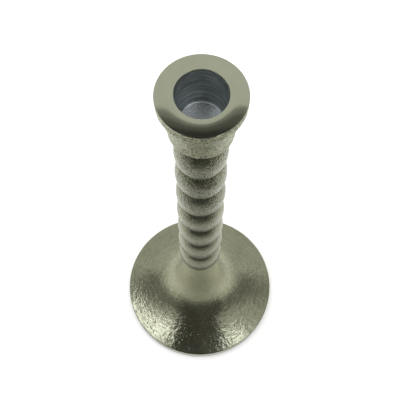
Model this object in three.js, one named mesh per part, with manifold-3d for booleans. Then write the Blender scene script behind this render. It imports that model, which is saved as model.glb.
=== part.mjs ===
// A cast metal candlestick for one taper candle: cup, beaded stem and trumpet foot, clamped together
// by a threaded rod with a washer, a lock washer and a nut, and standing on four felt pads.
// Units are millimetres, +Z is up, and the origin is on the table at the middle of the foot.

import * as THREE from 'three';
import { mergeVertices } from 'three/addons/utils/BufferGeometryUtils.js';
import Module from 'manifold-3d';

const wasm = await Module();
wasm.setup();

// Driving dimensions
const totalHeight = 275;
const jointGap = 0.3; // left between pieces that meet
const roundSegments = 48;
const footSegments = 64;
const smallSegments = 32;

const rimRadius = 19.1;
const rimFlatRadius = 12.8; // the ring is flat inside this, beside the socket's mouth
const rimCrownDrop = 0.9; // the polished ring falls away from there to its edge
const rimCrownShare = 0.42; // share of that drop reached half-way across
const rimEdgeRound = 0.3;
const rimSideHeight = 4.5;
const collarRadius = 14.8;
const collarDrop = 28.2; // from the rim's top down to the collar's sharp lower edge
const collarCurve = 1.54; // 1 is a straight cone from the collar to the rim; more is a deeper sweep
const collarUndercut = 1.6; // height of the slope from the neck out to the collar's edge
const flankSteps = 9;
const cupHeight = 36.7;
const cupNeckRadius = 10.4;
const cupNeckFlare = 0.6;
const cupNeckRise = 3; // height of the cone from the stem's first groove out to the neck

const socketRadius = 11.2;
const socketDepth = 22;
const socketTaper = 0.55;
const socketFloorRadius = 8.8;
const socketCornerHeight = 3.4;
const socketFloorRound = 0.6;
const mouthChamfer = 0.15;

const beadCount = 7;
const beadPitch = 23.1;
const beadRadius = 12.7;
const grooveRadius = 8.2;
const beadSteps = 8;

const footRadius = 50;
const lipHeight = 8; // from the foot's lower face to the start of its upper face
const lipRound = 0.8;
const footEdgeChamfer = 0.8; // round the foot's lower edge
const footWall = 4.5;
const landInnerRadius = 40;
const footNeckRadius = 9.6;
const footNeckRound = 1.2;
const flareSteps = 14;
const flareSharpness = 4.95; // how quickly the trumpet sweeps up to its neck
const seatHeight = 42; // where the clamping washer bears inside the foot
const seatRadius = 10;
const hollowSteps = 8;
const hollowTop = seatHeight - 6; // the hollow is a straight bore from here up to the seat

const rodRadius = 3.9;
const rodEngagement = 9; // length held in the cup
const rodTail = 4; // length showing below the nut
const rodChamfer = 0.7;
const rodHoleRadius = rodRadius + jointGap;

const washerRadius = 9;
const washerThickness = 1.6;
const lockWasherRadius = 6.7;
const lockWasherThickness = 2;
const lockWasherSlit = 1.2;
const nutAcrossFlats = 13;
const nutHeight = 6.5;
const nutCornerLand = 0.1; // the turned cones stay this far outside the hexagon's corners

const padCount = 4;
const padRadius = 4.2;
const padThickness = 2;
const padCentreRadius = 45;
const padEdge = 0.3;

// Heights that follow from them
const footBase = padThickness;
const cupBase = totalHeight - cupHeight;
const stemBase = cupBase - beadCount * beadPitch;
const collarZ = totalHeight - collarDrop;
const socketFloorZ = totalHeight - socketDepth;
const footTop = stemBase - jointGap;
const neckTop = footTop - footNeckRound;
const lipTop = footBase + lipHeight;
const hollowBase = lipTop - 2;
const washerTop = seatHeight - jointGap;
const lockWasherTop = washerTop - washerThickness - jointGap;
const nutTop = lockWasherTop - lockWasherThickness - jointGap;
const rodBottom = nutTop - nutHeight - rodTail;
const rodTop = cupBase + rodEngagement;

// Materials
function metal(name, colour, roughness) {
  const material = new THREE.MeshStandardMaterial({ color: colour, roughness, metalness: 1 });
  material.name = name;
  return material;
}

const castMetal = metal('cast_metal', 0x9a9c84, 0.45);
const steel = metal('fastener_steel', 0x9b9da0, 0.35);
const felt = new THREE.MeshStandardMaterial({ color: 0x2f3a33, roughness: 0.95, metalness: 0 });
felt.name = 'felt';

// Geometry helpers

// Turns an outline of [radius, height] points around the Z axis. The points run up the outside.
function lathe(points, segments = roundSegments) {
  const outline = points.map(([radius, height]) => new THREE.Vector2(radius, height));
  const geometry = new THREE.LatheGeometry(outline, segments);
  geometry.rotateX(Math.PI / 2);
  return geometry;
}

function toSolid(geometry) {
  const bare = geometry.clone();
  bare.deleteAttribute('normal');
  bare.deleteAttribute('uv');
  const welded = mergeVertices(bare, 1e-4);
  const vertProperties = new Float32Array(welded.attributes.position.array);
  const triVerts = new Uint32Array(welded.index.array);
  return new wasm.Manifold(new wasm.Mesh({ numProp: 3, vertProperties, triVerts }));
}

function toGeometry(solid) {
  const mesh = solid.getMesh();
  const geometry = new THREE.BufferGeometry();
  geometry.setAttribute('position', new THREE.BufferAttribute(mesh.vertProperties, 3));
  geometry.setIndex(new THREE.BufferAttribute(mesh.triVerts, 1));
  geometry.computeVertexNormals();
  return geometry;
}

// A tube with a square section: outer and inner radius, from one height to another.
function ring(outer, inner, bottom, top, segments = roundSegments) {
  const corners = [[inner, bottom], [outer, bottom], [outer, top], [inner, top], [inner, bottom]];
  return lathe(corners, segments);
}

// The middle point of an outline's upper outer corner, rounded to a radius.
function roundedCorner(radius, height, round) {
  const inset = round * (1 - Math.SQRT1_2);
  return [radius - inset, height - inset];
}

// Outlines

// The outside of the cup between its rim and the collar's edge, from the collar up.
function cupFlank() {
  const top = totalHeight - rimCrownDrop - rimEdgeRound - rimSideHeight;
  const points = [];
  for (let i = 0; i <= flankSteps; i += 1) {
    const t = i / flankSteps;
    const radius = collarRadius + (rimRadius - collarRadius) * t ** collarCurve;
    points.push([radius, collarZ + t * (top - collarZ)]);
  }
  return points;
}

function cupGeometry() {
  const rimEdge = totalHeight - rimCrownDrop;
  const crownMiddle = totalHeight - rimCrownShare * rimCrownDrop;
  const outline = [
    [0, rodTop + jointGap],
    [rodHoleRadius, rodTop + jointGap],
    [rodHoleRadius, cupBase + jointGap],
    [grooveRadius, cupBase + jointGap],
    [cupNeckRadius, cupBase + cupNeckRise],
    [cupNeckRadius + cupNeckFlare, collarZ - collarUndercut],
    ...cupFlank(),
    [rimRadius, rimEdge - rimEdgeRound],
    [rimRadius - rimEdgeRound, rimEdge],
    [(rimRadius + rimFlatRadius) / 2, crownMiddle],
    [rimFlatRadius, totalHeight],
    [socketRadius + mouthChamfer, totalHeight],
    [socketRadius, totalHeight - mouthChamfer],
    [socketRadius - socketTaper, socketFloorZ + socketCornerHeight],
    [socketFloorRadius + socketFloorRound, socketFloorZ + socketFloorRound],
    [socketFloorRadius, socketFloorZ],
    [0, socketFloorZ],
  ];
  return lathe(outline);
}

function stemGeometry() {
  const points = [[rodHoleRadius, stemBase]];
  for (let bead = 0; bead < beadCount; bead += 1) {
    const middle = stemBase + (bead + 0.5) * beadPitch;
    for (let i = bead === 0 ? 0 : 1; i <= beadSteps; i += 1) {
      const angle = Math.PI * (i / beadSteps - 0.5);
      const radius = grooveRadius + (beadRadius - grooveRadius) * Math.cos(angle);
      points.push([radius, middle + (beadPitch / 2) * Math.sin(angle)]);
    }
  }
  points.push([rodHoleRadius, cupBase]);
  points.push([rodHoleRadius, stemBase]);
  return lathe(points);
}

// Radius of the foot's upper face at a height: a shallow dome near the lip that sweeps up to the neck.
function flareRadius(z) {
  const t = (z - lipTop) / (neckTop - lipTop);
  const sweep = Math.exp(-flareSharpness * t) - Math.exp(-flareSharpness);
  const spread = sweep / (1 - Math.exp(-flareSharpness));
  return footNeckRadius + (footRadius - lipRound - footNeckRadius) * spread;
}

function footGeometry() {
  const outline = [
    [landInnerRadius, footBase],
    [footRadius - footEdgeChamfer, footBase],
    [footRadius, footBase + footEdgeChamfer],
    [footRadius, lipTop - lipRound],
    roundedCorner(footRadius, lipTop, lipRound),
  ];
  for (let i = 0; i <= flareSteps; i += 1) {
    const t = (i / flareSteps) ** 2;
    const z = lipTop + t * (neckTop - lipTop);
    outline.push([flareRadius(z), z]);
  }
  outline.push(roundedCorner(footNeckRadius, footTop, footNeckRound));
  outline.push([footNeckRadius - footNeckRound, footTop]);
  outline.push([rodHoleRadius, footTop]);
  outline.push([rodHoleRadius, seatHeight]);
  outline.push([seatRadius, seatHeight]);
  for (let i = 0; i <= hollowSteps; i += 1) {
    const t = (1 - i / hollowSteps) ** 2;
    const z = hollowBase + t * (hollowTop - hollowBase);
    outline.push([Math.max(seatRadius, flareRadius(z + footWall) - footWall), z]);
  }
  outline.push([landInnerRadius, footBase]);
  return lathe(outline, footSegments);
}

function lockWasherGeometry() {
  const bottom = lockWasherTop - lockWasherThickness;
  const body = toSolid(ring(lockWasherRadius, rodHoleRadius, bottom, lockWasherTop, smallSegments));
  const slit = new THREE.BoxGeometry(lockWasherRadius * 2, lockWasherSlit, lockWasherThickness * 3);
  slit.rotateX(Math.PI / 6);
  slit.translate(lockWasherRadius, 0, lockWasherTop - lockWasherThickness / 2);
  return toGeometry(body.subtract(toSolid(slit)));
}

// A hex nut: a six-sided prism with a round hole, its corners turned down to cones at both ends.
function nutGeometry() {
  const corner = nutAcrossFlats / Math.sqrt(3);
  const bottom = nutTop - nutHeight;
  const chamfer = corner - nutAcrossFlats / 2;
  const hexagon = lathe([[0, bottom], [corner, bottom], [corner, nutTop], [0, nutTop]], 6);
  const turned = lathe([
    [0, bottom],
    [nutAcrossFlats / 2, bottom],
    [corner + nutCornerLand, bottom + chamfer],
    [corner + nutCornerLand, nutTop - chamfer],
    [nutAcrossFlats / 2, nutTop],
    [0, nutTop],
  ]);
  const hole = lathe([
    [0, bottom - 1],
    [rodHoleRadius, bottom - 1],
    [rodHoleRadius, nutTop + 1],
    [0, nutTop + 1],
  ], smallSegments);
  return toGeometry(toSolid(hexagon).intersect(toSolid(turned)).subtract(toSolid(hole)));
}

function rodGeometry() {
  return lathe([
    [0, rodBottom],
    [rodRadius - rodChamfer, rodBottom],
    [rodRadius, rodBottom + rodChamfer],
    [rodRadius, rodTop - rodChamfer],
    [rodRadius - rodChamfer, rodTop],
    [0, rodTop],
  ], smallSegments);
}

function padGeometry() {
  return lathe([
    [0, 0],
    [padRadius - padEdge, 0],
    [padRadius, padEdge],
    [padRadius, padThickness - jointGap],
    [0, padThickness - jointGap],
  ], smallSegments);
}

// Assembly
const candlestick = new THREE.Group();

function addPart(name, geometry, material) {
  const mesh = new THREE.Mesh(geometry, material.clone());
  mesh.name = name;
  candlestick.add(mesh);
  return mesh;
}

addPart('candle_cup', cupGeometry(), castMetal);
addPart('stem', stemGeometry(), castMetal);
addPart('foot', footGeometry(), castMetal);
addPart('tie_rod', rodGeometry(), steel);
addPart('clamp_washer', ring(washerRadius, rodHoleRadius, washerTop - washerThickness, washerTop), steel);
addPart('lock_washer', lockWasherGeometry(), steel);
addPart('clamp_nut', nutGeometry(), steel);

for (let i = 0; i < padCount; i += 1) {
  const angle = (Math.PI * 2 * (i + 0.5)) / padCount;
  const pad = addPart(`felt_pad_${i + 1}`, padGeometry(), felt);
  pad.position.set(padCentreRadius * Math.cos(angle), padCentreRadius * Math.sin(angle), 0);
}

export default candlestick;
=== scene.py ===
"""Looks of a cast metal candlestick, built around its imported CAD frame. Metres, +Z up."""

import math

import bpy
import numpy as np
from mathutils import Matrix, Vector, noise


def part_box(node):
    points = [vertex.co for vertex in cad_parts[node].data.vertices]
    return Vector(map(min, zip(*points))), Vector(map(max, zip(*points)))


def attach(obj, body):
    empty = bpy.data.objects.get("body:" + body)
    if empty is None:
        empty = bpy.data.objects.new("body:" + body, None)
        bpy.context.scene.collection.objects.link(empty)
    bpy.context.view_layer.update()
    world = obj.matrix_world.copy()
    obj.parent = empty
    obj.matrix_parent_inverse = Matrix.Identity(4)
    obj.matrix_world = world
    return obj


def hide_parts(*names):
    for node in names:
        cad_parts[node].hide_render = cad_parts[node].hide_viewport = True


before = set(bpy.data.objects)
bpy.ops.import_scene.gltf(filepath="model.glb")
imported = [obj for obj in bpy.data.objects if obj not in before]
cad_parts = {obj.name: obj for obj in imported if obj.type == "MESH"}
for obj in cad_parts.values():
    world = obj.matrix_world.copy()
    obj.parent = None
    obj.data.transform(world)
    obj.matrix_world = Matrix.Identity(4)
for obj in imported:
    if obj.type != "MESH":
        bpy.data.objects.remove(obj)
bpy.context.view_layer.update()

MM = 0.001
TAU = 2 * math.pi

# Photographer's view
LENS = 68.3  # on a 36 mm sensor
CAMERA_BACK = 0.152
CAMERA_HEIGHT = 0.533
CAMERA_TILT = 22.55  # degrees from straight down
CAMERA_ROLL = 0.5
CAMERA_SIDE = -0.0003


# ---------------------------------------------------------------- node helpers


class Nodes:
    """A material's node tree, with short ways to add and link nodes."""

    def __init__(self, tree):
        self.tree = tree

    def add(self, kind, **settings):
        node = self.tree.nodes.new(kind)
        for key, value in settings.items():
            setattr(node, key, value)
        return node

    def link(self, source, target):
        self.tree.links.new(source, target)

    def put(self, socket, value):
        if isinstance(value, bpy.types.NodeSocket):
            self.link(value, socket)
        else:
            socket.default_value = value

    def math(self, operation, a, b=None):
        node = self.add("ShaderNodeMath", operation=operation)
        self.put(node.inputs[0], a)
        if b is not None:
            self.put(node.inputs[1], b)
        return node.outputs[0]

    def noise(self, vector, scale, detail=3.0, roughness=0.55, distortion=0.0):
        node = self.add("ShaderNodeTexNoise")
        self.put(node.inputs["Vector"], vector)
        node.inputs["Scale"].default_value = scale
        node.inputs["Detail"].default_value = detail
        node.inputs["Roughness"].default_value = roughness
        node.inputs["Distortion"].default_value = distortion
        return node.outputs["Fac"]

    def ramp(self, value, stops):
        """Maps a value through (position, colour) stops."""
        node = self.add("ShaderNodeValToRGB")
        self.put(node.inputs["Fac"], value)
        elements = node.color_ramp.elements
        while len(elements) < len(stops):
            elements.new(0.5)
        for element, (position, colour) in zip(elements, stops):
            element.position = position
            element.color = (*colour, 1.0)
        return node.outputs["Color"]

    def span(self, value, low, high, to_low=0.0, to_high=1.0):
        node = self.add("ShaderNodeMapRange")
        self.put(node.inputs["Value"], value)
        for name, number in zip(("From Min", "From Max", "To Min", "To Max"), (low, high, to_low, to_high)):
            self.put(node.inputs[name], number)
        return node.outputs["Result"]

    def mix(self, factor, a, b, mode="MIX"):
        node = self.add("ShaderNodeMix", data_type="RGBA", blend_type=mode)
        self.put(node.inputs["Factor"], factor)
        self.put(node.inputs["A"], a if isinstance(a, bpy.types.NodeSocket) else (*a, 1.0))
        self.put(node.inputs["B"], b if isinstance(b, bpy.types.NodeSocket) else (*b, 1.0))
        return node.outputs["Result"]

    def bump(self, height, distance, strength=1.0, normal=None):
        node = self.add("ShaderNodeBump")
        self.put(node.inputs["Strength"], strength)
        node.inputs["Distance"].default_value = distance
        self.put(node.inputs["Height"], height)
        if normal is not None:
            self.put(node.inputs["Normal"], normal)
        return node.outputs["Normal"]

    def attribute(self, name):
        return self.add("ShaderNodeAttribute", attribute_name=name).outputs["Fac"]

    def place(self):
        """The point on the object, in metres."""
        return self.add("ShaderNodeTexCoord").outputs["Object"]

    def turned_place(self, around, across, along):
        """The point in lathe terms: direction round the axis, radius and height, each with a scale."""
        split = self.add("ShaderNodeSeparateXYZ")
        self.link(self.place(), split.inputs[0])
        x, y, z = split.outputs
        square = self.math("ADD", self.math("MULTIPLY", x, x), self.math("MULTIPLY", y, y))
        radius = self.math("SQRT", self.math("MAXIMUM", square, 1e-8))
        depth = self.math("ADD", self.math("MULTIPLY", radius, across), self.math("MULTIPLY", z, along))
        join = self.add("ShaderNodeCombineXYZ")
        self.link(self.math("MULTIPLY", self.math("DIVIDE", x, radius), around), join.inputs[0])
        self.link(self.math("MULTIPLY", self.math("DIVIDE", y, radius), around), join.inputs[1])
        self.link(depth, join.inputs[2])
        return join.outputs[0]


def new_material(name, metallic=0.0, roughness=0.5):
    """A material with one Principled shader: its nodes, and the shader."""
    material = bpy.data.materials.new(name)
    material.use_nodes = True
    nodes = Nodes(material.node_tree)
    material.node_tree.nodes.clear()
    shader = nodes.add("ShaderNodeBsdfPrincipled")
    output = nodes.add("ShaderNodeOutputMaterial")
    nodes.link(shader.outputs["BSDF"], output.inputs["Surface"])
    shader.inputs["Metallic"].default_value = metallic
    shader.inputs["Roughness"].default_value = roughness
    return material, nodes, shader


# ---------------------------------------------------------------- materials

FINISH_LIGHT = (0.275, 0.282, 0.205)
FINISH_MID = (0.225, 0.230, 0.162)
# Darkest tone: the cast pits, and the painted shade, with some patina, in the grooves and under the cup's
# collar.
PIT_AND_SHADE_DARK = (0.050, 0.052, 0.036)
FINISH_PALE = (0.50, 0.53, 0.295)
FINISH_MATTE = (0.43, 0.432, 0.293)


def rough_cast():
    """Sand-cast skin under the plated finish: a close grain with dark pits and brighter high spots."""
    material, nodes, shader = new_material("rough_cast", metallic=1.0)
    place = nodes.place()
    grain = nodes.noise(place, 1250, detail=3, roughness=0.6)
    lumps = nodes.noise(place, 420, detail=2)
    tone = nodes.noise(place, 90, detail=3)
    clear_of_shade_and_patina = nodes.attribute("clear_of_shade_and_patina")
    colour = nodes.ramp(grain, [(0.38, PIT_AND_SHADE_DARK), (0.48, FINISH_LIGHT), (0.66, FINISH_PALE)])
    tint = nodes.ramp(tone, [(0.35, (0.82, 0.82, 0.78)), (0.65, (1.06, 1.05, 1.02))])
    colour = nodes.mix(1.0, colour, tint, "MULTIPLY")
    # Darker on the cup's neck under its collar: painted shade, with some patina in that hollow.
    colour = nodes.mix(nodes.span(clear_of_shade_and_patina, 0.0, 1.0, 0.75, 0.0), colour, PIT_AND_SHADE_DARK)
    nodes.link(colour, shader.inputs["Base Color"])
    nodes.link(nodes.span(grain, 0.3, 0.7, 0.50, 0.30), shader.inputs["Roughness"])
    normal = nodes.bump(grain, 0.4 * MM, 1.0)
    normal = nodes.bump(lumps, 0.5 * MM, 0.7, normal)
    nodes.link(normal, shader.inputs["Normal"])
    return material


def polished_rim():
    """The rim ring: polished after casting, with the finest turning lines left in it."""
    material, nodes, shader = new_material("polished_rim", metallic=1.0)
    lines = nodes.noise(nodes.turned_place(1.5, 4200, 900), 1.0, detail=4, roughness=0.6)
    cloud = nodes.noise(nodes.place(), 140, detail=3)
    colour = nodes.ramp(cloud, [(0.3, (0.32, 0.335, 0.247)), (0.7, (0.345, 0.36, 0.267))])
    nodes.link(colour, shader.inputs["Base Color"])
    nodes.link(nodes.span(cloud, 0.3, 0.7, 0.10, 0.15), shader.inputs["Roughness"])
    nodes.link(nodes.bump(lines, 0.02 * MM, 0.5), shader.inputs["Normal"])
    return material


def bored_metal():
    """Bare grey metal inside the socket: tool rings down the wall, circular scratches on the floor."""
    material, nodes, shader = new_material("bored_metal", metallic=1.0)
    rings = nodes.noise(nodes.turned_place(0.5, 1500, 1300), 1.0, detail=3, roughness=0.6)
    chatter = nodes.noise(nodes.turned_place(9, 2400, 700), 1.0, detail=2)
    stain = nodes.noise(nodes.place(), 160, detail=4, roughness=0.65)
    floor_part = nodes.attribute("floor")
    wall = nodes.ramp(stain, [(0.3, (0.30, 0.33, 0.33)), (0.7, (0.52, 0.56, 0.55))])
    ring_tone = nodes.ramp(rings, [(0.35, (0.72, 0.72, 0.72)), (0.65, (1.25, 1.25, 1.25))])
    wall = nodes.mix(1.0, wall, ring_tone, "MULTIPLY")
    bottom = nodes.ramp(chatter, [(0.37, (0.62, 0.63, 0.63)), (0.58, (0.98, 0.99, 0.99))])
    nodes.link(nodes.mix(floor_part, wall, bottom), shader.inputs["Base Color"])
    nodes.link(nodes.span(chatter, 0.3, 0.7, 0.42, 0.56), shader.inputs["Roughness"])
    normal = nodes.bump(rings, 0.25 * MM, 0.7)
    normal = nodes.bump(chatter, 0.15 * MM, 0.5, normal)
    nodes.link(normal, shader.inputs["Normal"])
    return material


def brushed_cast():
    """The stem's and foot's finish: brushed round the axis over a cast skin, with pits and scratches."""
    material, nodes, shader = new_material("brushed_cast", metallic=1.0)
    place = nodes.place()
    brush = nodes.noise(nodes.turned_place(9, 1500, 1100), 1.0, detail=4, roughness=0.65)
    streak = nodes.noise(nodes.turned_place(14, 1300, 1000), 1.0, detail=2, roughness=0.6)
    grain = nodes.noise(place, 1150, detail=3)
    cloud = nodes.noise(place, 55, detail=4)
    pits = nodes.noise(place, 600, detail=1)
    dents = nodes.noise(place, 330, detail=2, roughness=0.6)
    clear_of_shade_and_patina = nodes.attribute("clear_of_shade_and_patina")
    colour = nodes.ramp(cloud, [(0.3, FINISH_MID), (0.7, FINISH_LIGHT)])
    fleck = nodes.ramp(brush, [(0.32, (0.80, 0.80, 0.77)), (0.62, (1.04, 1.04, 1.02))])
    colour = nodes.mix(1.0, colour, fleck, "MULTIPLY")
    colour = nodes.mix(nodes.span(pits, 0.68, 0.76, 0.0, 0.6), colour, PIT_AND_SHADE_DARK)
    hollows = nodes.math("MULTIPLY", nodes.attribute("rough"), nodes.span(grain, 0.49, 0.38, 0.0, 0.75))
    colour = nodes.mix(hollows, colour, PIT_AND_SHADE_DARK)
    # Darker in the grooves between the beads: painted shade, with some patina in the hollows.
    colour = nodes.mix(nodes.span(clear_of_shade_and_patina, 0.0, 1.0, 0.7, 0.0), colour, PIT_AND_SHADE_DARK)
    matte = nodes.math("MULTIPLY", nodes.attribute("matte"), nodes.span(cloud, 0.25, 0.75, 0.75, 1.0))
    dust = nodes.ramp(grain, [(0.35, (0.80, 0.80, 0.78)), (0.60, (1.08, 1.08, 1.08))])
    colour = nodes.mix(matte, colour, nodes.mix(1.0, dust, FINISH_MATTE, "MULTIPLY"))
    nodes.link(colour, shader.inputs["Base Color"])
    rough_share = nodes.attribute("rough")
    polish = nodes.span(cloud, 0.3, 0.7, 0.12, 0.18)
    satin = nodes.math("MULTIPLY", nodes.attribute("satin"), 0.15)
    dulled = nodes.math("ADD", satin, nodes.math("MULTIPLY", matte, 0.40))
    nodes.link(nodes.math("ADD", polish, dulled), shader.inputs["Roughness"])
    coarse = nodes.math("MAXIMUM", rough_share, nodes.math("MULTIPLY", matte, 0.6))
    normal = nodes.bump(grain, 0.4 * MM, nodes.span(coarse, 0.0, 1.0, 0.12, 0.85))
    normal = nodes.bump(brush, 0.08 * MM, 0.4, normal)
    normal = nodes.bump(streak, 0.15 * MM, 0.8, normal)
    normal = nodes.bump(dents, 0.25 * MM, nodes.span(matte, 0.0, 0.6, 0.68, 0.2), normal)
    normal = nodes.bump(nodes.span(pits, 0.64, 0.78, 1.0, 0.0), 0.14 * MM, 0.6, normal)
    nodes.link(normal, shader.inputs["Normal"])
    return material


def raw_cast():
    """Unplated casting inside the foot: dull grey, coarse from the sand."""
    material, nodes, shader = new_material("raw_cast", metallic=1.0)
    place = nodes.place()
    grain = nodes.noise(place, 900, detail=3, roughness=0.65)
    cloud = nodes.noise(place, 70, detail=3)
    colour = nodes.ramp(cloud, [(0.3, (0.26, 0.26, 0.25)), (0.7, (0.42, 0.42, 0.40))])
    nodes.link(colour, shader.inputs["Base Color"])
    nodes.link(nodes.span(grain, 0.3, 0.7, 0.65, 0.5), shader.inputs["Roughness"])
    nodes.link(nodes.bump(grain, 0.6 * MM, 0.7), shader.inputs["Normal"])
    return material


def zinc_steel():
    """Zinc-plated fasteners: pale, faintly clouded, with fine handling marks."""
    material, nodes, shader = new_material("zinc_steel", metallic=1.0)
    place = nodes.place()
    cloud = nodes.noise(place, 260, detail=4)
    marks = nodes.noise(place, 2600, detail=3, roughness=0.7)
    colour = nodes.ramp(cloud, [(0.3, (0.42, 0.43, 0.44)), (0.7, (0.62, 0.63, 0.62))])
    nodes.link(colour, shader.inputs["Base Color"])
    nodes.link(nodes.span(cloud, 0.3, 0.7, 0.28, 0.42), shader.inputs["Roughness"])
    nodes.link(nodes.bump(marks, 0.03 * MM, 0.4), shader.inputs["Normal"])
    return material


def felt():
    """Pressed felt: tangled short fibres, soft at the surface."""
    material, nodes, shader = new_material("felt", roughness=0.95)
    place = nodes.place()
    fibre = nodes.noise(place, 2200, detail=4, roughness=0.7, distortion=2.5)
    cloud = nodes.noise(place, 350, detail=3)
    colour = nodes.ramp(fibre, [(0.3, (0.016, 0.022, 0.018)), (0.7, (0.060, 0.075, 0.063))])
    tint = nodes.ramp(cloud, [(0.3, (0.85, 0.85, 0.85)), (0.7, (1.15, 1.15, 1.15))])
    nodes.link(nodes.mix(1.0, colour, tint, "MULTIPLY"), shader.inputs["Base Color"])
    nodes.link(nodes.bump(fibre, 0.35 * MM, 0.8), shader.inputs["Normal"])
    shader.inputs["Sheen Weight"].default_value = 0.4
    shader.inputs["Sheen Roughness"].default_value = 0.5
    return material


def pale_floor():
    material, nodes, shader = new_material("pale_floor", roughness=0.8)
    cloud = nodes.noise(nodes.place(), 4, detail=2)
    colour = nodes.ramp(cloud, [(0.3, (0.90, 0.90, 0.895)), (0.7, (0.92, 0.92, 0.915))])
    nodes.link(colour, shader.inputs["Base Color"])
    return material


# ---------------------------------------------------------------- mesh helpers


def arc(centre, radius, start, end, steps):
    """Points of a round corner in an outline, angles in degrees from +radius towards +height."""
    angles = [math.radians(start + (end - start) * i / steps) for i in range(steps + 1)]
    return [(centre[0] + radius * math.cos(a), centre[1] + radius * math.sin(a)) for a in angles]


def line(a, b, step):
    """Points from a up to but not including b, about a step apart."""
    count = max(1, round(math.dist(a, b) / step))
    return [(a[0] + (b[0] - a[0]) * i / count, a[1] + (b[1] - a[1]) * i / count) for i in range(count)]


def outline_normals(points):
    """Unit normals of an outline that runs up its outside, as an array."""
    run = np.gradient(np.array(points), axis=0)
    length = np.maximum(np.linalg.norm(run, axis=1), 1e-12)
    return np.stack([run[:, 1] / length, -run[:, 0] / length], axis=1)


def turned(name, points, segments, proud=None, closed=False, marks=None):
    """A mesh turned from (radius, height) points. proud(x, y, z, radius, row) says how far a point
    stands out along the outline's normal. marks maps an attribute's name to its value in each row."""
    points = np.array(points, float)
    normals = outline_normals(points)
    angles = np.arange(segments) * TAU / segments
    verts, rows = [], []
    for row, ((radius, height), (nr, nz)) in enumerate(zip(points, normals)):
        if radius < 1e-7:
            rows.append([len(verts)])
            verts.append((0.0, 0.0, height))
            continue
        rows.append(list(range(len(verts), len(verts) + segments)))
        for angle in angles:
            c, s = math.cos(angle), math.sin(angle)
            out = proud(radius * c, radius * s, height, radius, row) if proud else 0.0
            r = radius + out * nr
            verts.append((r * c, r * s, height + out * nz))
    faces, face_rows = [], []
    pairs = list(zip(range(len(rows) - 1), range(1, len(rows))))
    if closed:
        pairs.append((len(rows) - 1, 0))
    for low, high in pairs:
        a, b = rows[low], rows[high]
        for i in range(segments):
            j = (i + 1) % segments
            if len(a) == 1:
                faces.append((a[0], b[j], b[i]))
            elif len(b) == 1:
                faces.append((a[i], a[j], b[0]))
            else:
                faces.append((a[i], a[j], b[j], b[i]))
            face_rows.append(low)
    mesh = bpy.data.meshes.new(name)
    mesh.from_pydata(verts, [], faces)
    mesh.shade_smooth()
    for key, values in (marks or {}).items():
        attribute = mesh.attributes.new(key, "FLOAT", "POINT")
        spread = np.concatenate([np.full(len(r), v) for r, v in zip(rows, values)])
        attribute.data.foreach_set("value", spread.astype(np.float32))
    mesh.update()
    piece = bpy.data.objects.new(name, mesh)
    bpy.context.scene.collection.objects.link(piece)
    return piece, np.array(face_rows)


def paint(piece, materials, face_rows=None, pick=None):
    """Gives a piece its materials. pick(row) is the material's number for the faces of an outline row."""
    for material in materials:
        piece.data.materials.append(material)
    if pick is not None:
        numbers = np.array([pick(row) for row in face_rows], np.int32)
        piece.data.polygons.foreach_set("material_index", numbers)


def finish_piece(piece, slot, *nodes):
    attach(piece, "root")
    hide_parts(*nodes)
    return piece


def grain_at(x, y, z, size, seed=0.0):
    """Smooth noise, about -1 to 1, with features of the given size."""
    return noise.noise(Vector((x / size + seed, y / size, z / size)))


def smooth(low, high, value):
    t = min(1.0, max(0.0, (value - low) / (high - low)))
    return t * t * (3 - 2 * t)


# ---------------------------------------------------------------- pieces

CAST, RIM, BORE = 0, 1, 2


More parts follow.
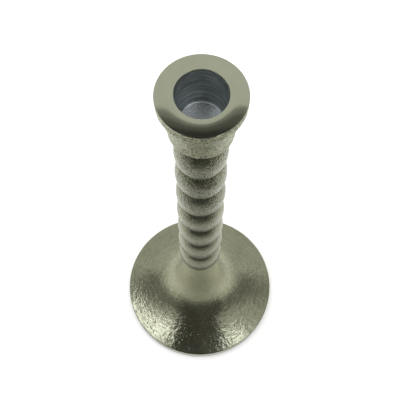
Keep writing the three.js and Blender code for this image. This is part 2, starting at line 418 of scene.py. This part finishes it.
def candle_cup(materials):
    """The cup: rough-cast flank, polished rim ring, and a bored socket with a drilled floor."""
    low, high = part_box("candle_cup")
    top, base, rim = high.z, low.z, high.x
    socket, socket_bottom, floor_radius = 11.2 * MM, top - 22 * MM, 8.8 * MM
    crown_drop, edge, side = 0.9 * MM, 0.15 * MM, 4.65 * MM
    collar, collar_z = 14.8 * MM, top - 28.2 * MM
    groove, neck, neck_flare, neck_z = 8.2 * MM, 10.5 * MM, 0.5 * MM, base + 2.6 * MM
    hole, hole_top = 4.2 * MM, base + 9.5 * MM
    lip, fillet, flare_z = 0.35 * MM, 1.2 * MM, collar_z - 1.6 * MM

    outline, kind = [], []

    def add(points, number):
        outline.extend(points)
        kind.extend([number] * len(points))

    add([(0, hole_top), (hole, hole_top)], CAST)
    add(line((hole, base), (groove, base), 1 * MM), CAST)
    add(line((groove, base), (neck, neck_z), 0.4 * MM), CAST)
    add(line((neck, neck_z), (neck + neck_flare, flare_z), 0.4 * MM), CAST)
    add(arc((neck + neck_flare + fillet, flare_z), fillet, 180, 100, 6), CAST)
    add(line(outline[-1], (collar - lip, collar_z), 0.4 * MM)[1:], CAST)
    add(arc((collar - lip, collar_z + lip), lip, -90, 0, 4), CAST)
    side_low = top - crown_drop - edge - side
    steps = 60
    for i in range(1, steps):
        t = i / steps
        radius = collar + (rim - 0.12 * MM - collar) * t**1.54
        add([(radius, collar_z + lip + t * (side_low - collar_z - lip))], CAST)
    add(line((rim - 0.05 * MM, side_low), (rim, top - crown_drop - edge), 0.4 * MM), CAST)
    edge_start = len(outline)
    edge_turn = 68  # degrees of the edge's round before the crown takes over
    add(arc((rim - edge, top - crown_drop - edge), edge, 0, edge_turn, 6), RIM)
    flat = 12.8 * MM
    crown = rim - edge + edge * math.cos(math.radians(edge_turn)) - flat
    crown_z = top - crown_drop - edge + edge * math.sin(math.radians(edge_turn))
    crown_steps = 24
    for i in range(1, crown_steps + 1):
        t = i / crown_steps
        add([(flat + crown * (1 - t), crown_z + (top - crown_z) * (1 - (1 - t) ** 1.8))], RIM)
    add(line((flat - 0.2 * MM, top), (socket + 0.15 * MM, top), 0.3 * MM), RIM)
    add(arc((socket + 0.12 * MM, top - 0.12 * MM), 0.12 * MM, 90, 180, 3), RIM)
    wall_end = (10.65 * MM, socket_bottom + 3.4 * MM)
    add(line((socket, top - 0.5 * MM), wall_end, 0.25 * MM), BORE)
    add(line(wall_end, (floor_radius + 0.5 * MM, socket_bottom + 0.5 * MM), 0.3 * MM), BORE)
    add(line((floor_radius, socket_bottom + 0.1 * MM), (0.8 * MM, socket_bottom), 0.25 * MM), BORE)
    add([(0.5 * MM, socket_bottom - 0.3 * MM), (0, socket_bottom - 0.5 * MM)], BORE)

    floor_top = socket_bottom + 0.7 * MM
    on_floor = [float(k == BORE and z < floor_top) for k, (_, z) in zip(kind, outline)]
    # 0.45 on the neck under the collar, rising to 1 above it: where the painted shade and patina darken the
    # cup.
    clear_of_shade_and_patina = [smooth(base + 1 * MM, collar_z + 0.4 * MM, z) * 0.55 + 0.45 for _, z in outline]

    def proud(x, y, z, radius, row):
        if kind[row] == CAST and row > 3:
            fade = smooth(0, 2.0, edge_start - row)
            lumps = 0.09 * grain_at(x, y, z, 3.2 * MM) + 0.06 * grain_at(x, y, z, 1.3 * MM, 7.0)
            return fade * MM * (lumps - 0.1)
        if kind[row] == BORE:
            tool = 0.08 * grain_at(x * 0.15, y * 0.15, z, 1.1 * MM) + 0.02 * grain_at(x, y, z, 2.0 * MM)
            return tool * MM * (1.0 if on_floor[row] == 0 else 1.6)
        around = math.degrees(math.atan2(y, x))
        over_polished = math.exp(-(((around + 45) / 24) ** 2)) * smooth(socket, rim, radius)
        return MM * (0.004 * grain_at(x, y, z, 5 * MM) - 0.25 * over_polished)

    piece, rows = turned("candle_cup_casting", outline, 240, proud, marks={"clear_of_shade_and_patina": clear_of_shade_and_patina, "floor": on_floor})
    paint(piece, [materials["rough_cast"], materials["rim"], materials["bore"]], rows, lambda r: kind[r])
    return finish_piece(piece, "cast_metal", "candle_cup")


def stem(materials):
    """Seven cast bead rings, coarser at the top of the stem than at the bottom."""
    low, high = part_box("stem")
    beads, bead_radius, groove, hole = 7, high.x, 8.2 * MM, 4.2 * MM
    pitch = (high.z - low.z) / beads
    steps = 44
    outline, depth = [(hole, low.z)], [0.0]
    for bead in range(beads):
        middle = low.z + (bead + 0.5) * pitch
        for i in range(steps + 1):
            if bead and i == 0:
                continue
            angle = math.pi * (i / steps - 0.5)
            swell = math.cos(angle)
            outline.append((groove + (bead_radius - groove) * swell, middle + pitch / 2 * math.sin(angle)))
            depth.append(swell)
    outline.append((hole, high.z))
    depth.append(0.0)
    # Near 0 in the grooves between the beads, 1 on the crests: where the painted shade and patina darken
    # the stem.
    clear_of_shade_and_patina = [smooth(-0.1, 0.62, d) for d in depth]
    rough = [smooth(low.z + 2.2 * pitch, low.z + 5.5 * pitch, z) for _, z in outline]
    satin = [1.0 - 0.4 * r for r in rough]

    def proud(x, y, z, radius, row):
        if radius <= hole:
            return 0.0
        wobble = 0.10 * grain_at(x, y, z, 11 * MM, 3.0)
        lumps = 0.085 * grain_at(x, y, z, 2.6 * MM) + 0.05 * grain_at(x, y, z, 1.2 * MM, 5.0)
        return MM * (wobble + lumps * (0.3 + 0.7 * rough[row]) - 0.02)

    marks = {"clear_of_shade_and_patina": clear_of_shade_and_patina, "rough": rough, "satin": satin}
    piece, _ = turned("beaded_stem", outline, 168, proud, closed=True, marks=marks)
    paint(piece, [materials["brushed"]])
    return finish_piece(piece, "cast_metal", "stem")


BRUSHED, RAW = 0, 1


def foot(materials):
    """The trumpet foot: a brushed upper face and lip, raw inside, with a spot-faced seat for the washer."""
    low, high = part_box("foot")
    base, top, radius = low.z, high.z, high.x
    lip_round, neck, neck_round, wall = 0.8 * MM, 9.6 * MM, 1.2 * MM, 4.5 * MM
    lip_top, neck_top = base + 8 * MM, top - neck_round
    hole, seat_radius, seat_z, land = 4.2 * MM, 10 * MM, 0.042, 40 * MM
    sharpness = 4.95

    def flare(z):
        t = (z - lip_top) / (neck_top - lip_top)
        sweep = (math.exp(-sharpness * t) - math.exp(-sharpness)) / (1 - math.exp(-sharpness))
        return neck + (radius - lip_round - neck) * sweep

    outline, kind = [], []

    def add(points, number):
        outline.extend(points)
        kind.extend([number] * len(points))

    add(line((land + 0.6 * MM, base), (radius - 1.0 * MM, base), 1.2 * MM), RAW)
    add(arc((radius - 0.9 * MM, base + 0.9 * MM), 0.9 * MM, -90, 0, 5), BRUSHED)
    add(line((radius, base + 1.2 * MM), (radius, lip_top - lip_round), 0.6 * MM), BRUSHED)
    add(arc((radius - lip_round, lip_top - lip_round), lip_round, 0, 70, 6), BRUSHED)
    steps = 120
    for i in range(1, steps + 1):
        z = lip_top + (i / steps) ** 1.9 * (neck_top - lip_top)
        add([(flare(z), z)], BRUSHED)
    add(arc((neck - neck_round, neck_top), neck_round, 10, 90, 5), BRUSHED)
    flare_end = len(outline)
    add([(hole, top), (hole, seat_z)], RAW)
    add(line((hole + 0.2 * MM, seat_z), (seat_radius, seat_z), 1 * MM), RAW)
    ceiling, hollow_top, hollow_steps = lip_top - 2 * MM, seat_z - 6 * MM, 36
    for i in range(hollow_steps + 1):
        z = ceiling + (1 - i / hollow_steps) ** 2 * (hollow_top - ceiling)
        add([(max(seat_radius, flare(z + wall) - wall), z)], RAW)
    add(line((land - 0.3 * MM, ceiling - 1 * MM), (land, base + 0.5 * MM), 1 * MM), RAW)

    matte = [smooth(base + 7 * MM, base + 48 * MM, z) ** 1.3 for _, z in outline]

    def proud(x, y, z, r, row):
        if kind[row] == RAW:
            inside = row > flare_end + 10
            return MM * 0.18 * grain_at(x, y, z, 3.5 * MM, 2.0) if inside else 0.0
        if row < flare_end - 3 and r > neck:
            around = math.atan2(y, x)
            streaks = noise.noise(Vector((6 * math.cos(around), 6 * math.sin(around), r / (1.6 * MM))))
            lumps = grain_at(x, y, z, 7 * MM, 4.0)
            return MM * (0.030 * streaks + 0.045 * lumps - 0.05)
        return 0.0

    piece, rows = turned("trumpet_foot", outline, 320, proud, closed=True,
                         marks={"clear_of_shade_and_patina": [1.0] * len(outline), "matte": matte})
    paint(piece, [materials["brushed"], materials["raw"]], rows, lambda r: kind[r])
    return finish_piece(piece, "cast_metal", "foot")


def tie_rod(material):
    """A stud with a thread cut on each end and a plain shank between."""
    low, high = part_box("tie_rod")
    radius, pitch, depth, threaded = high.x, 1.25 * MM, 0.65 * MM, 26 * MM
    chamfer = 0.7 * MM
    outline = [(0, low.z), (radius - chamfer, low.z)]
    outline += line((radius, low.z + chamfer), (radius, low.z + threaded), 0.2 * MM)
    outline += line((radius, low.z + threaded), (radius, high.z - threaded), 6 * MM)
    outline += line((radius, high.z - threaded), (radius, high.z - chamfer), 0.2 * MM)
    outline += [(radius - chamfer, high.z), (0, high.z)]

    def proud(x, y, z, r, row):
        near_end = min(z - low.z, high.z - z)
        if r < radius or near_end > threaded:
            return 0.0
        turn = (z / pitch - math.atan2(y, x) / TAU) % 1.0
        fade = smooth(threaded, threaded - 2 * MM, near_end)
        return -depth * fade * min(1.0, max(0.0, 2.6 * abs(turn - 0.5) - 0.2))

    piece, _ = turned("threaded_stud", outline, 40, proud)
    paint(piece, [material])
    return finish_piece(piece, "fastener_steel", "tie_rod")


def flat_washer(material):
    low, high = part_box("clamp_washer")
    outer, inner, edge = high.x, 4.2 * MM, 0.25 * MM
    outline = arc((inner + edge, low.z + edge), edge, 180, 270, 3)
    outline += arc((outer - edge, low.z + edge), edge, -90, 0, 3)
    outline += arc((outer - edge, high.z - edge), edge, 0, 90, 3)
    outline += arc((inner + edge, high.z - edge), edge, 90, 180, 3)
    piece, _ = turned("flat_washer", outline, 96, closed=True)
    paint(piece, [material])
    return finish_piece(piece, "fastener_steel", "clamp_washer")


def spring_washer(material):
    """One turn of square-section wire, cut through and sprung a little out of flat."""
    low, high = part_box("lock_washer")
    outer, inner, gap, rise = high.x, 4.2 * MM, 0.18, 0.25 * MM
    section = [(inner, 0.0), (outer, 0.0), (outer, 1.0), (inner, 1.0)]
    thickness = high.z - low.z - rise
    steps = 72
    verts, faces = [], []
    for i in range(steps + 1):
        t = i / steps
        angle = gap / 2 + t * (TAU - gap)
        for r, side in section:
            z = low.z + rise * t + thickness * side
            verts.append((r * math.cos(angle), r * math.sin(angle), z))
    for i in range(steps):
        for k in range(4):
            a, b = 4 * i + k, 4 * i + (k + 1) % 4
            faces.append((a, b, b + 4, a + 4))
    faces.append((3, 2, 1, 0))
    faces.append(tuple(4 * steps + k for k in range(4)))
    mesh = bpy.data.meshes.new("spring_washer")
    mesh.from_pydata(verts, [], faces)
    piece = bpy.data.objects.new("spring_washer", mesh)
    bpy.context.scene.collection.objects.link(piece)
    bevel = piece.modifiers.new("edges", "BEVEL")
    bevel.width = 0.2 * MM
    bevel.segments = 2
    paint(piece, [material])
    return finish_piece(piece, "fastener_steel", "lock_washer")


def hex_nut(material):
    """A hexagon whose corners are turned down to cones at both ends, round a countersunk hole."""
    low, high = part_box("clamp_nut")
    flats = min(high.x - low.x, high.y - low.y) / 2
    corner, hole, sink = flats / math.cos(math.pi / 6), 4.2 * MM, 0.5 * MM
    cone = corner - flats
    outline = [(hole, low.z + sink), (hole + sink, low.z)]
    outline += line((flats - 0.2 * MM, low.z), (corner, low.z + cone), 0.15 * MM)
    outline += line((corner, low.z + cone), (corner, high.z - cone), 1.2 * MM)
    outline += line((corner, high.z - cone), (flats - 0.2 * MM, high.z), 0.15 * MM)
    outline += [(flats - 0.2 * MM, high.z), (hole + sink, high.z), (hole, high.z - sink)]
    turn = 0.0 if high.x < high.y else math.pi / 6
    flat_radii = np.array(outline)[:, 0]
    segments = 144
    piece, _ = turned("hex_nut", outline, segments, closed=True)
    for vertex in piece.data.vertices:
        x, y, _ = vertex.co
        radius = math.hypot(x, y)
        if radius > flats - 0.3 * MM:
            angle = (math.atan2(y, x) - turn + math.pi / 6) % (math.pi / 3) - math.pi / 6
            limit = flats / math.cos(angle)
            if radius > limit:
                vertex.co.x *= limit / radius
                vertex.co.y *= limit / radius
    paint(piece, [material])
    edges = piece.modifiers.new("crisp", "EDGE_SPLIT")
    edges.split_angle = math.radians(28)
    return finish_piece(piece, "fastener_steel", "clamp_nut")


def felt_pad(number, material):
    """A punched felt disc, a little uneven round its cut edge."""
    node = f"felt_pad_{number}"
    low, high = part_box(node)
    middle = (low + high) / 2
    radius, edge = (high.x - low.x) / 2, 0.35 * MM
    thick = high.z - low.z
    outline = [(0, 0)] + line((0.4 * MM, 0), (radius - edge, 0), 0.35 * MM)
    outline += arc((radius - edge, edge), edge, -90, 0, 3)
    outline += arc((radius - edge, thick + 0.25 * MM - edge), edge, 0, 90, 3)
    outline += line((radius - edge, thick + 0.25 * MM), (0, thick + 0.25 * MM), 0.6 * MM)[1:]
    outline += [(0, thick + 0.25 * MM)]

    def proud(x, y, z, r, row):
        fuzz = 0.10 * grain_at(x, y, z, 0.6 * MM, 11.0 * number) - 0.10
        return MM * fuzz

    piece, _ = turned(f"felt_disc_{number}", outline, 72, proud)
    piece.data.transform(Matrix.Translation((middle.x, middle.y, low.z)))
    paint(piece, [material])
    return finish_piece(piece, "felt", node)


# ---------------------------------------------------------------- studio


def make_camera():
    data = bpy.data.cameras.new("camera")
    data.lens = LENS
    data.sensor_width = 36
    data.clip_start = 0.01
    camera = bpy.data.objects.new("camera", data)
    tilt = Matrix.Rotation(math.radians(CAMERA_TILT), 4, "X")
    roll = Matrix.Rotation(math.radians(CAMERA_ROLL), 4, "Z")
    camera.matrix_world = Matrix.Translation((CAMERA_SIDE, -CAMERA_BACK, CAMERA_HEIGHT)) @ tilt @ roll
    bpy.context.scene.collection.objects.link(camera)
    bpy.context.scene.camera = camera


def make_floor():
    half = 3.0
    corners = [(-half, -half, 0), (half, -half, 0), (half, half, 0), (-half, half, 0)]
    mesh = bpy.data.meshes.new("floor")
    mesh.from_pydata(corners, [], [(0, 1, 2, 3)])
    floor = bpy.data.objects.new("floor", mesh)
    bpy.context.scene.collection.objects.link(floor)
    floor.data.materials.append(pale_floor())


def make_world():
    world = bpy.data.worlds.new("studio")
    world.use_nodes = True
    background = world.node_tree.nodes["Background"]
    background.inputs["Color"].default_value = (1.0, 1.0, 0.99, 1.0)
    background.inputs["Strength"].default_value = 1.0
    bpy.context.scene.world = world


def flag(name, corners, brightness):
    """A card that only the metal's reflections see, as a dark studio flag."""
    mesh = bpy.data.meshes.new(name)
    mesh.from_pydata(corners, [], [(0, 1, 2, 3)])
    card = bpy.data.objects.new(name, mesh)
    bpy.context.scene.collection.objects.link(card)
    material = bpy.data.materials.new(name)
    material.use_nodes = True
    nodes = Nodes(material.node_tree)
    material.node_tree.nodes.clear()
    glow = nodes.add("ShaderNodeEmission")
    glow.inputs["Color"].default_value = (brightness, brightness, brightness * 0.97, 1.0)
    output = nodes.add("ShaderNodeOutputMaterial")
    nodes.link(glow.outputs[0], output.inputs["Surface"])
    card.data.materials.append(material)
    card.visible_camera = False
    card.visible_diffuse = False
    card.visible_shadow = False
    card.visible_transmission = False


COOL_WHITE = (0.94, 0.95, 1.07)
WARM_WHITE = (1.0, 1.0, 0.93)


def softbox(name, place, aim, width, height, power, colour=COOL_WHITE):
    """A rectangular lamp aimed at a point: the lamp, so that it can be kept out of reflections."""
    data = bpy.data.lights.new(name, "AREA")
    data.shape = "RECTANGLE"
    data.size = width
    data.size_y = height
    data.energy = power
    data.color = colour
    light = bpy.data.objects.new(name, data)
    light.location = place
    light.rotation_mode = "QUATERNION"
    light.rotation_quaternion = (Vector(aim) - Vector(place)).to_track_quat("-Z", "Y")
    bpy.context.scene.collection.objects.link(light)
    return light


def mirrored(side, corners):
    """Corners moved to the left (-1) or kept at the right (1)."""
    return [(side * x, y, z) for x, y, z in corners]


def make_studio():
    """A white table with light all round, a long lamp at the left and a small one at the right, and
    what the metal mirrors: the front of the table darkened by a painted shadow of the photographer,
    the photographer leaning over it, and the dimmer corners and sides of the room."""
    make_world()
    make_floor()
    reach, lift = 0.36, 0.001  # half the width of the table's strips, and their height off it
    # Glowing strips just above the table that only the metal sees, darker away from the object: a painted
    # shadow of the photographer on the table's front.
    for near, far, brightness in ((-0.06, -0.10, 0.95), (-0.10, -0.15, 0.78), (-0.15, -0.20, 0.62),
                                  (-0.20, -0.25, 0.45), (-0.25, -0.31, 0.25), (-0.31, -0.46, 0.11)):
        strip = [(-reach, near, lift), (reach, near, lift), (reach, far, lift), (-reach, far, lift)]
        flag("room_front", strip, brightness)

    body = 0.125
    flag("body_low", [(-0.44, -0.46, 0.0), (0.54, -0.46, 0.0),
                      (0.40, -0.36, 0.25), (-0.36, -0.36, 0.25)], body)
    flag("body_high", [(-0.25, -0.36, 0.25), (0.22, -0.36, 0.25),
                       (0.15, -0.09, 0.92), (-0.17, -0.09, 0.92)], body)
    flag("body_gap", [(0.025, -0.41, 0.10), (0.055, -0.41, 0.10),
                      (0.05, -0.25, 0.50), (0.03, -0.25, 0.50)], 0.24)
    reach, lift = 0.46, 0.92
    for near, far, brightness in ((-0.09, 0.08, 0.07), (0.08, 0.18, 0.18), (0.18, 0.27, 0.38)):
        strip = [(-reach, near, lift), (reach, near, lift), (reach, far, lift), (-reach, far, lift)]
        flag("head", strip, brightness)

    corner = [(0.24, -0.46, 0.0), (0.62, -0.45, 0.0), (0.62, -0.45, 0.42), (0.24, -0.46, 0.34)]
    wall = [(0.62, -0.45, 0.05), (0.62, 0.32, 0.18), (0.62, 0.32, 0.50), (0.62, -0.45, 0.42)]
    upper = [(0.62, -0.02, 0.48), (0.62, 0.32, 0.50), (0.62, 0.32, 0.80), (0.62, 0.05, 0.72)]
    for side, name in ((-1, "left"), (1, "right")):
        flag(f"room_corner_{name}", mirrored(side, corner), 0.28)
        flag(f"room_side_{name}", mirrored(side, wall), 0.38)
        flag(f"room_upper_{name}", mirrored(side, upper), 0.55)

    softbox("lamp_left", (-0.66, -0.19, 1.0), (0, 0, 0.02), 0.85, 0.26, 2.5)
    softbox("lamp_right", (0.40, -0.40, 0.98), (0, 0, 0.02), 0.42, 0.22, 1.1)
    fill = softbox("fill", (0, 0.1, 1.3), (0, 0, 0), 1.6, 1.6, 9.0, WARM_WHITE)
    fill.visible_glossy = False


# ---------------------------------------------------------------- the scene

make_camera()
make_studio()

finishes = {
    "rough_cast": rough_cast(),
    "rim": polished_rim(),
    "bore": bored_metal(),
    "brushed": brushed_cast(),
    "raw": raw_cast(),
}
steel = zinc_steel()
pad_felt = felt()

candle_cup(finishes)
stem(finishes)
foot(finishes)
tie_rod(steel)
flat_washer(steel)
spring_washer(steel)
hex_nut(steel)
for pad_number in range(1, 5):
    felt_pad(pad_number, pad_felt)

bpy.context.scene.view_settings.view_transform = "Standard"
